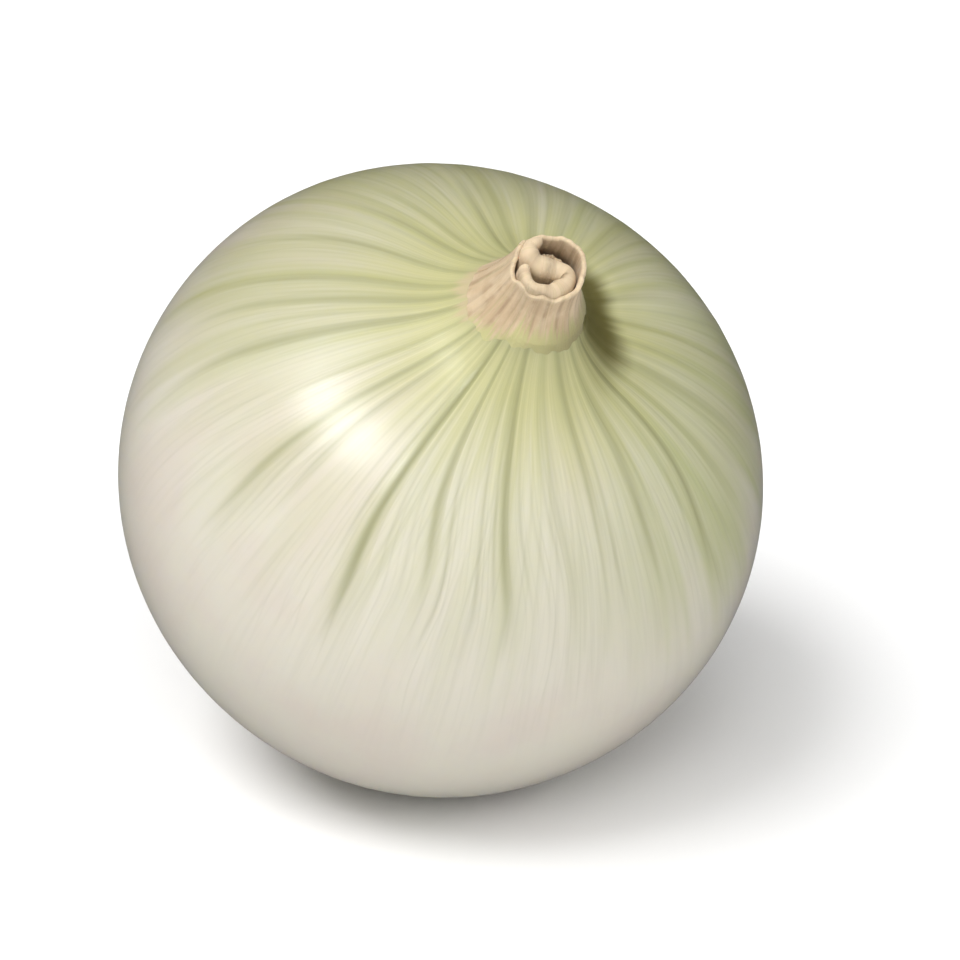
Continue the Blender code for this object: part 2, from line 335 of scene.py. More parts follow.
@dataclass(frozen=True)
class Growth:
    """The onion's overall shape, upright on its own axis, and how it lies."""

    radius: float = 42.0 * MM
    half_height: float = 37.8 * MM
    lean: float = math.radians(38)
    lean_towards: float = math.radians(-86)
    centre: tuple[float, float, float] = (0.946 * MM, 3.495 * MM, 38.578 * MM)
    neck_sway: float = math.radians(14)
    neck_sway_towards: float = math.radians(108)
    shoulder_radius: float = 18.0 * MM
    shoulder_lift: float = 4.6 * MM
    shoulder_power: float = 3.0
    lip_radius: float = 6.4 * MM
    hollow_radius: float = 15.0 * MM
    hollow_depth: float = 1.4 * MM
    veins: Veins = field(default_factory=Veins)
    dry_radius: float = 5.5 * MM
    dry_reach: float = 3.0 * MM
    dry_side: float = math.radians(-103)
    dry_power: float = 1.8
    dry_ragged: float = 0.5 * MM
    dry_edge: tuple[float, float] = (1.2 * MM, 1.8 * MM)
    crease_side: float = math.radians(106)
    crease_reach: tuple[float, float] = (10.3 * MM, 17.0 * MM)
    crease_depth: float = 0.7 * MM
    crease_power: float = 2.6
    crease_ragged: float = 1.3 * MM
    crease_start: float = 8.0 * MM
    vein_fade: float = 9.0 * MM
    recess_edge: tuple[float, float] = (7.5 * MM, 8.5 * MM)
    unevenness: float = 0.006
    spacing: float = 0.045

    def sway(self, point: Vector) -> Vector:
        """Bends an upright point to where the neck's lean to one side puts it.

        Args:
            point: A point in the upright onion.

        Returns:
            The bent point.
        """
        towards = self.neck_sway_towards
        hinge = Vector((-math.sin(towards), math.cos(towards), 0.0))
        share = (1 + math.cos(point.angle(Vector((0, 0, 1)), 0.0))) / 2
        return Matrix.Rotation(self.neck_sway * share, 3, hinge) @ point

    def lie(self) -> Matrix:
        """The matrix that lays the upright onion down on its flat spot."""
        turn = Euler((0.0, self.lean, self.lean_towards)).to_matrix().to_4x4()
        return Matrix.Translation(self.centre) @ turn

    def place(self, point: Vector) -> Vector:
        """Puts an upright point where it lies, and no lower than the surface under it.

        Args:
            point: A point in the upright onion.

        Returns:
            The point in the row frame.
        """
        lying = self.lie() @ self.sway(point)
        lying.z = max(lying.z, 0.0)
        return lying

    def globe_height(self, radius: float) -> float:
        """Height of the plain globe at a distance from the axis."""
        return self.half_height * math.sqrt(max(0.0, 1 - (radius / self.radius) ** 2))

    def upper_height(self, radius: float) -> float:
        """Height of the onion's top, with its lifted shoulder, at a distance from the axis."""
        reach = max(0.0, self.shoulder_radius - radius) / (self.shoulder_radius - self.lip_radius)
        return self.globe_height(radius) + self.shoulder_lift * reach**self.shoulder_power

    def lower_height(self, radius: float) -> float:
        """Height of the onion's hollowed underside at a distance from the axis."""
        reach = max(0.0, 1 - (radius / self.hollow_radius) ** 2)
        return self.hollow_depth * reach**2 - self.globe_height(radius)

    def lip_height(self) -> float:
        """Mean height of the skin's edge at the neck."""
        return self.upper_height(self.lip_radius)

    def dryness(self, angle: float, radius: float) -> float:
        """How dry and tan the neck's surroundings are: furthest out on one side of the neck.

        Args:
            angle: The angle round the axis.
            radius: Distance from the axis.

        Returns:
            From 0 where the skin is green to 1 where it is dry.
        """
        side = max(0.0, math.cos(angle - self.dry_side)) ** self.dry_power
        edge = self.dry_radius + self.dry_reach * side + self.dry_ragged * wave(5 * angle, 2.0)
        inward, outward = self.dry_edge
        return 1 - smooth(edge - inward, edge + outward, radius)

    def crease(self, angle: float, radius: float) -> float:
        """How deep a place lies in the crease beside the neck's foot: the mask that sinks the skin there and
        that the skin's painted olive shade follows.

        Args:
            angle: The angle round the axis.
            radius: Distance from the axis.

        Returns:
            From 0 outside the crease to 1 in its middle.
        """
        side = max(0.0, math.cos(angle - self.crease_side)) ** self.crease_power
        ragged = radius + self.crease_ragged * wave(2 * angle, 1.0)
        return side * (1 - smooth(*self.crease_reach, ragged))

    def sunk_by(self, angle: float, radius: float) -> float:
        """How far the crease sinks the skin.

        Args:
            angle: The angle round the axis.
            radius: Distance from the axis.

        Returns:
            The depth.
        """
        start = smooth(self.lip_radius, self.crease_start, radius)
        return self.crease_depth * self.crease(angle, radius) * start

    def swell(self, angle: float, point: Vector) -> Vector:
        """Adds the veins' relief and the bulb's slight unevenness to a point of the skin.

        Args:
            angle: The point's even angle round the axis, before the veins are spaced out.
            point: The point on the plain surface.

        Returns:
            The raised point.
        """
        radius = math.hypot(point.x, point.y)
        rise = point.z / self.half_height
        strength = 0.15 + 0.85 * max(0.0, rise) ** 1.5
        fade = min(1.0, max(0.0, (radius - self.lip_radius) / self.vein_fade + 0.3))
        raised = point + point.normalized() * self.veins.relief(angle, rise) * strength * fade
        if rise > 0:
            raised.z -= self.sunk_by(angle, radius)
        share = smooth(self.lip_radius - 1.0 * MM, self.lip_radius, radius)
        share *= smooth(*self.recess_edge, radius) if point.z < 0 else 1.0
        return raised + Vector((point.x, point.y, 0.0)) * self.unevenness * wave(angle, 0.4) * share

    def spread(self, angle: float, radius: float, height: float) -> Vector:
        """The upright point at an even angle, once the veins are spaced unevenly.

        Args:
            angle: The even angle round the axis.
            radius: Distance from the axis.
            height: Height along the axis.

        Returns:
            The point.
        """
        moved = angle + self.spacing * wave(angle, 3.0)
        return Vector((radius * math.cos(moved), radius * math.sin(moved), height))


class Graph:
    """One shader tree, and short ways to add nodes to it."""

    def __init__(self, tree: bpy.types.NodeTree) -> None:
        """Takes the tree that the nodes go into.

        Args:
            tree: A material's, world's or group's node tree.
        """
        self.tree = tree

    def node(self, kind: str, **settings: object) -> bpy.types.Node:
        """Adds a node.

        Args:
            kind: The node's type, without the word ShaderNode.
            settings: Its properties.

        Returns:
            The node.
        """
        made = self.tree.nodes.new("ShaderNode" + kind)
        made.location = (40 * len(self.tree.nodes), -20 * len(self.tree.nodes))
        for name, setting in settings.items():
            setattr(made, name, setting)
        return made

    def feed(self, socket: bpy.types.NodeSocket, value: Value | Colour) -> None:
        """Links a socket to another, or sets it.

        Args:
            socket: The socket that takes the value.
            value: A number, a colour or the socket to link.
        """
        if isinstance(value, bpy.types.NodeSocket):
            self.tree.links.new(value, socket)
        elif isinstance(value, tuple) and len(value) == 3 and socket.type == "RGBA":
            socket.default_value = (*value, 1.0)
        else:
            socket.default_value = value

    def maths(self, operation: str, first: Value, second: Value = 0.0) -> bpy.types.NodeSocket:
        """Adds one step of arithmetic.

        Args:
            operation: Its kind.
            first: The first number.
            second: The second number.

        Returns:
            The result.
        """
        made = self.node("Math", operation=operation)
        self.feed(made.inputs[0], first)
        self.feed(made.inputs[1], second)
        return made.outputs[0]

    def plus(self, first: Value, second: Value) -> bpy.types.NodeSocket:
        """Adds two numbers together."""
        return self.maths("ADD", first, second)

    def less(self, first: Value, second: Value) -> bpy.types.NodeSocket:
        """Takes the second number from the first."""
        return self.maths("SUBTRACT", first, second)

    def times(self, *factors: Value) -> bpy.types.NodeSocket:
        """Multiplies numbers, first to last.

        Args:
            factors: The numbers.

        Returns:
            Their product.
        """
        product = factors[0]
        for factor in factors[1:]:
            product = self.maths("MULTIPLY", product, factor)
        return product

    def step(self, value: Value, low: Value, high: Value) -> bpy.types.NodeSocket:
        """Adds a soft step from 0 at low to 1 at high.

        Args:
            value: The number to step.
            low: Where it starts.
            high: Where it ends.

        Returns:
            The result.
        """
        made = self.node("MapRange", interpolation_type="SMOOTHSTEP")
        self.feed(made.inputs["Value"], value)
        self.feed(made.inputs["From Min"], low)
        self.feed(made.inputs["From Max"], high)
        return made.outputs["Result"]

    def between(self, share: Value, low: float, high: float) -> bpy.types.NodeSocket:
        """Adds a plain mix of two numbers.

        Args:
            share: How much of high, from 0 to 1.
            low: The number at 0.
            high: The number at 1.

        Returns:
            The result.
        """
        made = self.node("MapRange")
        self.feed(made.inputs["Value"], share)
        made.inputs["To Min"].default_value = low
        made.inputs["To Max"].default_value = high
        return made.outputs["Result"]

    def mix(self, share: Value, first: Value | Colour, second: Value | Colour) -> bpy.types.NodeSocket:
        """Adds a mix of two colours.

        Args:
            share: How much of the second, from 0 to 1.
            first: The first colour.
            second: The second colour.

        Returns:
            The mixed colour.
        """
        made = self.node("Mix", data_type="RGBA")
        self.feed(made.inputs[0], share)
        self.feed(made.inputs[6], first)
        self.feed(made.inputs[7], second)
        return made.outputs[2]

    def noise(
        self, place: bpy.types.NodeSocket, scale: float, detail: float = 3.0
    ) -> bpy.types.NodeSocket:
        """Adds soft noise between about 0.3 and 0.7.

        Args:
            place: The coordinates that it follows.
            scale: How fine it is.
            detail: How many finer layers it has.

        Returns:
            The noise.
        """
        made = self.node("TexNoise")
        self.feed(made.inputs["Vector"], place)
        made.inputs["Scale"].default_value = scale
        made.inputs["Detail"].default_value = detail
        return made.outputs["Fac"]

    def stretch(self, place: bpy.types.NodeSocket, x: float, y: float, z: float) -> bpy.types.NodeSocket:
        """Scales coordinates.

        Args:
            place: The coordinates.
            x: Scale along the first.
            y: Scale along the second.
            z: Scale along the third.

        Returns:
            The scaled coordinates.
        """
        made = self.node("VectorMath", operation="MULTIPLY")
        self.feed(made.inputs[0], place)
        made.inputs[1].default_value = (x, y, z)
        return made.outputs["Vector"]

    def stored(self, name: str, vector: bool = False) -> bpy.types.NodeSocket:
        """Reads an attribute of the piece.

        Args:
            name: The attribute.
            vector: Whether it is a vector.

        Returns:
            Its value.
        """
        made = self.node("Attribute", attribute_name=name)
        return made.outputs["Vector" if vector else "Fac"]

    def bump(self, height: Value, depth: float, strength: float) -> bpy.types.NodeSocket:
        """Adds a bump.

        Args:
            height: The relief, from 0 to 1.
            depth: How deep the whole relief is, in metres.
            strength: How much of it shows.

        Returns:
            The bent normal.
        """
        made = self.node("Bump")
        self.feed(made.inputs["Height"], height)
        made.inputs["Distance"].default_value = depth
        made.inputs["Strength"].default_value = strength
        return made.outputs["Normal"]

    def group(self, shared: bpy.types.NodeTree, **values: Value) -> bpy.types.Node:
        """Places a shared effect.

        Args:
            shared: The effect's node group.
            values: What goes into its inputs, spaces written as underscores.

        Returns:
            The group's node.
        """
        made = self.node("Group", node_tree=shared)
        for name, value in values.items():
            self.feed(made.inputs[name.replace("_", " ")], value)
        return made


def start_material(name: str) -> tuple[bpy.types.Material, Graph, bpy.types.Node]:
    """Starts a material.

    Args:
        name: Its name.

    Returns:
        The material, its graph and its shader.
    """
    made = bpy.data.materials.new(name)
    made.use_nodes = True
    return made, Graph(made.node_tree), made.node_tree.nodes["Principled BSDF"]


class SharedEffects:
    """The effects that more than one finish uses, each built once."""

    def __init__(self) -> None:
        """Builds the groups."""
        self.lines = self._lines()
        self.speckle = self._speckle()

    @staticmethod
    def _new(name: str, inputs: list[str], outputs: list[str], vector: str = "") -> Graph:
        """Starts a group with float sockets and perhaps one vector input.

        Args:
            name: The group's name.
            inputs: Its number inputs.
            outputs: Its outputs.
            vector: The name of its vector input, if it has one.

        Returns:
            The group's graph.
        """
        tree = bpy.data.node_groups.new(name, "ShaderNodeTree")
        if vector:
            tree.interface.new_socket(vector, in_out="INPUT", socket_type="NodeSocketVector")
        for label in inputs:
            tree.interface.new_socket(label, in_out="INPUT", socket_type="NodeSocketFloat")
        for label in outputs:
            tree.interface.new_socket(label, in_out="OUTPUT", socket_type="NodeSocketFloat")
        return Graph(tree)

    def _lines(self) -> bpy.types.NodeTree:
        """Lines that run along the axis at even turns, each with its own strength and end.

        Returns:
            The group: Mask is each line's strength.
        """
        graph = self._new(
            "lines_along",
            ["Turn", "Girth", "Rise", "Count", "Width", "Seed", "End Low", "End High", "Fade"],
            ["Mask"],
        )
        given = graph.tree.nodes.new("NodeGroupInput").outputs
        phase = graph.times(given["Turn"], given["Count"])
        nearest = graph.maths("ROUND", phase)
        off = graph.maths("ABSOLUTE", graph.less(phase, nearest))
        spacing = graph.maths("DIVIDE", graph.times(given["Girth"], math.tau), given["Count"])
        distance = graph.times(off, spacing)
        line = graph.less(1.0, graph.step(distance, 0.0, given["Width"]))
        number = graph.maths("FLOORED_MODULO", graph.plus(nearest, 0.01), given["Count"])
        draw = graph.node("TexWhiteNoise", noise_dimensions="1D")
        graph.feed(draw.inputs["W"], graph.plus(graph.maths("FLOOR", number), given["Seed"]))
        own = draw.outputs["Value"]
        other = graph.node("SeparateColor")
        graph.feed(other.inputs["Color"], draw.outputs["Color"])
        span = graph.less(given["End High"], given["End Low"])
        end = graph.plus(given["End Low"], graph.times(span, own))
        begun = graph.step(given["Rise"], end, graph.plus(end, given["Fade"]))
        strength = graph.between(other.outputs["Green"], 0.35, 1.0)
        mask = graph.times(line, begun, strength)
        out = graph.tree.nodes.new("NodeGroupOutput").inputs
        graph.feed(out["Mask"], mask)
        return graph.tree

    def _speckle(self) -> bpy.types.NodeTree:
        """Soft patches with finer grain in them.

        Returns:
            The group: Mask is the patches, Grain the fine part.
        """
        graph = self._new("speckle", ["Scale", "Low", "High"], ["Mask", "Grain"], vector="Place")
        given = graph.tree.nodes.new("NodeGroupInput").outputs
        broad = graph.node("TexNoise")
        graph.feed(broad.inputs["Vector"], given["Place"])
        graph.feed(broad.inputs["Scale"], given["Scale"])
        broad.inputs["Detail"].default_value = 4.0
        fine = graph.node("TexNoise")
        graph.feed(fine.inputs["Vector"], given["Place"])
        graph.feed(fine.inputs["Scale"], graph.times(given["Scale"], 7.0))
        fine.inputs["Detail"].default_value = 2.0
        out = graph.tree.nodes.new("NodeGroupOutput").inputs
        graph.feed(out["Mask"], graph.step(broad.outputs["Fac"], given["Low"], given["High"]))
        graph.feed(out["Grain"], fine.outputs["Fac"])
        return graph.tree


@dataclass(frozen=True)
class SkinFinish:
    """Moist pearly skin: cream below, yellow green with green veins towards the neck; painted olive shade in
    the crease by the neck.
    """

    cream: Colour = colour(213, 208, 193)
    blush: Colour = colour(211, 201, 189)
    yellow: Colour = colour(175, 174, 127)
    green: Colour = colour(183, 186, 138)
    neck_green: Colour = colour(191, 188, 135)
    vein: Colour = colour(134, 135, 94)
    tan: Colour = colour(192, 175, 141)
    # Painted shade: the dark olive laid into the skin in the crease beside the neck's foot.
    painted_shade_olive: Colour = colour(92, 86, 44)
    pale_turn: float = math.radians(335)
    wash: tuple[float, float] = (0.72, 0.26)
    wash_reach: tuple[float, float] = (0.16, 0.62)
    wash_ragged: float = 0.55
    pale_lowers: float = 0.17
    blush_weight: float = 0.8
    neck_reach: tuple[float, float] = (0.82, 1.0)
    neck_weight: float = 0.85
    lip_reach: tuple[float, float] = (0.93, 1.02)
    vein_half_width: float = 0.9 * MM
    halo_half_width: float = 2.4 * MM
    vein_share: float = 0.3
    halo_share: float = 0.5
    vein_fade: tuple[float, float] = (0.04, 0.3)
    vein_weight: tuple[float, float] = (0.42, 0.66)
    halo_weight: float = 0.5
    fine_weights: tuple[float, float] = (0.26, 0.11)
    thread_weight: float = 0.16
    dry_weight: float = 0.85
    crease_weight: float = 0.95
    faint: tuple[float, float] = (0.0, 0.2)
    fray: float = 1.6
    dry_step: tuple[float, float] = (0.3, 0.95)
    crease_fray: float = 0.25
    crease_step: tuple[float, float] = (0.05, 0.85)
    roughness: tuple[float, float] = (0.36, 0.48)
    gloss: float = 0.95
    gloss_ior: float = 1.75
    gloss_roughness: float = 0.27
    flesh_share: float = 0.35
    flesh_glow: Colour = (1.0, 0.85, 0.45)
    flesh_depth: float = 2.2 * MM
    relief: float = 0.04 * MM

    def main_veins(
        self, graph: Graph, veins: Veins, turn: Value, girth: Value, rise: Value
    ) -> tuple[bpy.types.NodeSocket, bpy.types.NodeSocket]:
        """Adds the main veins: a ramp with one step to each vein holds where it lies and ends.

        Args:
            graph: The material's graph.
            veins: The veins.
            turn: The turn round the axis, as the pattern is read.
            girth: Distance from the axis.
            rise: Height over half the onion's height.

        Returns:
            How much of a vein there is, and how much of the wash beside it, from 0 to 1.
        """
        phase = graph.times(turn, float(veins.count))
        nearest = graph.maths("ROUND", phase)
        number = graph.maths("FLOORED_MODULO", graph.plus(nearest, 0.01), float(veins.count))
        number = graph.maths("FLOOR", number)
        table = graph.node("ValToRGB")
        table.color_ramp.interpolation = "CONSTANT"
        steps = table.color_ramp.elements
        steps.remove(steps[1])
        for place, vein in enumerate(veins.drawn):
            step = steps[0] if place == 0 else steps.new(place / veins.count)
            step.color = (vein.aside + 0.5, vein.end, vein.strength, 1.0)
        graph.feed(table.inputs[0], graph.maths("DIVIDE", graph.plus(number, 0.5), float(veins.count)))
        kept = graph.node("SeparateColor")
        graph.feed(kept.inputs["Color"], table.outputs["Color"])
        middle = graph.plus(nearest, graph.less(kept.outputs["Red"], 0.5))
        off = graph.maths("ABSOLUTE", graph.less(phase, middle))
        share = graph.times(girth, math.tau / veins.count)
        distance = graph.times(off, share)
        reach = graph.maths("MINIMUM", self.vein_half_width, graph.times(share, self.vein_share))
        line = graph.less(1.0, graph.step(distance, 0.0, reach))
        end = kept.outputs["Green"]
        before, after = self.vein_fade
        begun = graph.step(rise, graph.less(end, before), graph.plus(end, after))
        drawn = graph.times(begun, kept.outputs["Blue"])
        wide = graph.maths("MINIMUM", self.halo_half_width, graph.times(share, self.halo_share))
        halo = graph.less(1.0, graph.step(distance, 0.0, wide))
        return graph.times(line, drawn), graph.times(halo, drawn)

    def ground(
        self, graph: Graph, around: bpy.types.NodeSocket, rise: Value, mottle: bpy.types.Node
    ) -> bpy.types.NodeSocket:
        """Adds the colour under the veins: cream, washed with yellow green up to the green at the neck.

        Args:
            graph: The material's graph.
            around: The direction round the axis, with the rise as third number.
            rise: Height over half the onion's height.
            mottle: The speckle group's node.

        Returns:
            The colour.
        """
        broad = graph.noise(graph.stretch(around, 2.4, 2.4, 0.6), 1.3, 1.0)
        streaks = graph.noise(graph.stretch(around, 8.0, 8.0, 0.5), 1.5, 2.0)
        facing = graph.node("VectorMath", operation="DOT_PRODUCT")
        graph.feed(facing.inputs[0], around)
        facing.inputs[1].default_value = (math.cos(self.pale_turn), math.sin(self.pale_turn), 0.0)
        pale_side = graph.step(facing.outputs["Value"], 0.05, 0.8)
        ragged = graph.times(graph.less(streaks, 0.5), self.wash_ragged)
        lowered = graph.less(graph.plus(rise, ragged), graph.times(pale_side, self.pale_lowers))
        reached = graph.step(lowered, *self.wash_reach)
        amount = graph.between(pale_side, *self.wash)
        uneven = graph.plus(graph.times(streaks, 1.6), 0.2)
        washed = graph.times(reached, amount, uneven)
        hue = graph.plus(graph.times(facing.outputs["Value"], 0.2), broad)
        aside = graph.node("VectorMath", operation="DOT_PRODUCT")
        graph.feed(aside.inputs[0], around)
        aside.inputs[1].default_value = (-math.sin(self.pale_turn), math.cos(self.pale_turn), 0.0)
        hue = graph.plus(hue, graph.times(aside.outputs["Value"], 0.25))
        upper = graph.mix(graph.step(hue, 0.25, 0.75), self.yellow, self.green)
        toned = graph.mix(graph.times(mottle.outputs["Mask"], self.blush_weight), self.cream, self.blush)
        toned = graph.mix(washed, toned, upper)
        near_neck = graph.step(graph.plus(rise, graph.times(ragged, 0.25)), *self.neck_reach)
        return graph.mix(graph.times(near_neck, self.neck_weight), toned, self.neck_green)

    def build(self, growth: Growth, effects: SharedEffects) -> bpy.types.Material:
        """Builds the material.

        Args:
            growth: The onion's shape.
            effects: The shared effects.

        Returns:
            The material.
        """
        made, graph, shader = start_material("moist_skin")
        turn = graph.node("SeparateXYZ")
        graph.feed(turn.inputs[0], graph.node("UVMap").outputs["UV"])
        turn = turn.outputs["X"]
        rise = graph.stored("rise")
        girth = graph.stored("girth")
        around = graph.stored("around", vector=True)

        mottle = graph.group(effects.speckle, Place=around, Scale=2.6, Low=0.42, High=0.68)
        toned = self.ground(graph, around, rise, mottle)
        veins = growth.veins
        main, halo = self.main_veins(graph, veins, turn, girth, rise)
        toned = graph.mix(graph.times(halo, self.halo_weight), toned, self.yellow)
        fine = [
            graph.group(
                effects.lines, Turn=turn, Girth=girth, Rise=rise, Count=float(count),
                Width=width, Seed=seed, End_Low=low, End_High=high, Fade=0.22,
            ).outputs["Mask"]
            for count, width, seed, low, high in (
                (veins.count * 3, 0.55 * MM, 21.0, 0.42, 0.9),
                (veins.count * 9, 0.22 * MM, 57.0, 0.2, 0.85),
            )
        ]
        weight = graph.between(graph.step(rise, 0.4, 0.9), *self.vein_weight)
        toned = graph.mix(graph.times(main, weight), toned, self.vein)
        for lines, share in zip(fine, self.fine_weights):
            toned = graph.mix(graph.times(lines, share), toned, self.vein)
        threads = graph.noise(graph.stretch(around, 46.0, 46.0, 3.0), 1.0, 3.0)
        threads = graph.times(graph.step(threads, 0.42, 0.75), graph.step(rise, -0.1, 0.8))
        toned = graph.mix(graph.times(threads, self.thread_weight), toned, self.vein)

        fibres = graph.noise(graph.stretch(around, 14.0, 14.0, 1.0), 1.0, 2.0)
        ragged = graph.times(graph.less(fibres, 0.5), self.fray)
        dried = graph.step(graph.plus(graph.stored("dry"), ragged), *self.dry_step)
        dried = graph.times(dried, graph.step(graph.stored("dry"), *self.faint), self.dry_weight)
        toned = graph.mix(dried, toned, self.tan)
        # Painted shade: the skin turns dark olive in the crease beside the neck's foot, where the neck's
        # shade falls; the same mask dulls the coat further down.
        sunk = graph.stored("crease")
        painted_crease_shade = graph.step(graph.plus(sunk, graph.times(ragged, self.crease_fray)), *self.crease_step)
        painted_crease_shade = graph.times(painted_crease_shade, graph.step(sunk, *self.faint), self.crease_weight)
        toned = graph.mix(painted_crease_shade, toned, self.painted_shade_olive)
        graph.feed(shader.inputs["Base Color"], toned)

        low, high = self.roughness
        grain = mottle.outputs["Grain"]
        graph.feed(shader.inputs["Roughness"], graph.between(graph.plus(grain, dried), low, high))
        fibres = graph.noise(graph.stretch(around, 60.0, 60.0, 1.5), 1.0, 2.0)
        height = graph.plus(graph.times(fibres, 0.6), graph.times(fine[0], 0.5))
        height = graph.plus(height, graph.times(fine[1], 0.3))
        graph.feed(shader.inputs["Normal"], graph.bump(height, self.relief, 0.5))
        shader.inputs["Subsurface Weight"].default_value = self.flesh_share
        shader.inputs["Subsurface Radius"].default_value = self.flesh_glow
        shader.inputs["Subsurface Scale"].default_value = self.flesh_depth
        dulled = graph.maths("MAXIMUM", graph.step(rise, *self.lip_reach), sunk)
        graph.feed(shader.inputs["Coat Weight"], graph.between(dulled, self.gloss, 0.1 * self.gloss))
        shader.inputs["Coat Roughness"].default_value = self.gloss_roughness
        shader.inputs["Coat IOR"].default_value = self.gloss_ior
        return made


@dataclass(frozen=True)
class SheathFinish:
    """Dried leaf sheath: papery, pinkish tan, paler where it was cut, with fine fibres along it."""

    wall: Colour = colour(194, 170, 138)
    pale: Colour = colour(217, 198, 168)
    # Brown of the fibres, also used as painted shade in the pleats' valleys.
    fibre_brown_and_valley_shade: Colour = colour(166, 141, 112)
    fringe: Colour = colour(187, 182, 130)
    # Painted shade: the olive laid on the sheath's foot on the side that faces the crease.
    painted_shade_olive: Colour = colour(116, 104, 66)
    pale_weight: float = 0.45
    crease_weight: float = 0.75
    roughness: tuple[float, float] = (0.55, 0.8)
    relief: float = 0.12 * MM
    leaf_share: float = 0.15
    leaf_glow: Colour = (1.0, 0.7, 0.4)
    leaf_depth: float = 1.0 * MM
    fuzz: float = 0.1

    def build(self, effects: SharedEffects) -> bpy.types.Material:
        """Builds the material.

        Args:
            effects: The shared effects.

        Returns:
            The material.
        """
        made, graph, shader = start_material("dry_sheath")
        cut = graph.stored("cut")
        dry = graph.stored("dry")
        around = graph.stored("around", vector=True)
        fibres = graph.noise(graph.stretch(around, 26.0, 26.0, 1.2), 1.0, 3.0)
        patches = graph.group(effects.speckle, Place=around, Scale=3.2, Low=0.4, High=0.66)
        pleat = graph.stored("pleat")
        # Brown follows the fibres, the sheath's own grain, and the pleats' valleys, which is painted shade.
        shade = graph.plus(graph.times(fibres, 0.7), graph.times(pleat, 0.5))
        toned = graph.mix(graph.step(shade, 0.3, 0.72), self.fibre_brown_and_valley_shade, self.wall)
        toned = graph.mix(graph.times(patches.outputs["Mask"], self.pale_weight), toned, self.pale)
        toned = graph.mix(graph.times(graph.step(cut, 0.3, 1.0), self.pale_weight), toned, self.pale)
        ragged = graph.times(graph.less(fibres, 0.5), 1.6)
        dried = graph.step(graph.plus(dry, ragged), 0.3, 0.95)
        toned = graph.mix(dried, self.fringe, toned)
        # Painted shade: olive at the sheath's foot on the crease side.
        toned = graph.mix(graph.times(graph.stored("crease"), self.crease_weight), toned, self.painted_shade_olive)
        graph.feed(shader.inputs["Base Color"], toned)
        low, high = self.roughness
        graph.feed(shader.inputs["Roughness"], graph.between(patches.outputs["Grain"], low, high))
        height = graph.plus(fibres, graph.times(patches.outputs["Grain"], 0.4))
        graph.feed(shader.inputs["Normal"], graph.bump(height, self.relief, 0.8))
        shader.inputs["Subsurface Weight"].default_value = self.leaf_share
        shader.inputs["Subsurface Radius"].default_value = self.leaf_glow
        shader.inputs["Subsurface Scale"].default_value = self.leaf_depth
        shader.inputs["Sheen Weight"].default_value = self.fuzz
        return made


@dataclass(frozen=True)
class RootFinish:
    """Dried roots and root plate: straw and earth brown, matt."""

    straw: Colour = colour(205, 182, 138)
    earth: Colour = colour(122, 98, 66)
    dirt_weight: float = 0.45
    roughness: tuple[float, float] = (0.7, 0.95)
    relief: float = 0.15 * MM

    def build(self, effects: SharedEffects) -> bpy.types.Material:
        """Builds the material.

        Args:
            effects: The shared effects.

        Returns:
            The material.
        """
        made, graph, shader = start_material("dry_root")
        strand = graph.stored("strand")
        tip = graph.stored("tip")
        place = graph.node("TexCoord").outputs["Object"]
        dirt = graph.group(effects.speckle, Place=place, Scale=420.0, Low=0.38, High=0.62)
        shade = graph.plus(graph.times(strand, 0.5), graph.times(tip, 0.35))
        toned = graph.mix(shade, self.earth, self.straw)
        toned = graph.mix(graph.times(dirt.outputs["Mask"], self.dirt_weight), toned, self.earth)
        graph.feed(shader.inputs["Base Color"], toned)
        low, high = self.roughness
        graph.feed(shader.inputs["Roughness"], graph.between(dirt.outputs["Grain"], low, high))
        graph.feed(shader.inputs["Normal"], graph.bump(dirt.outputs["Grain"], self.relief, 0.7))
        return made


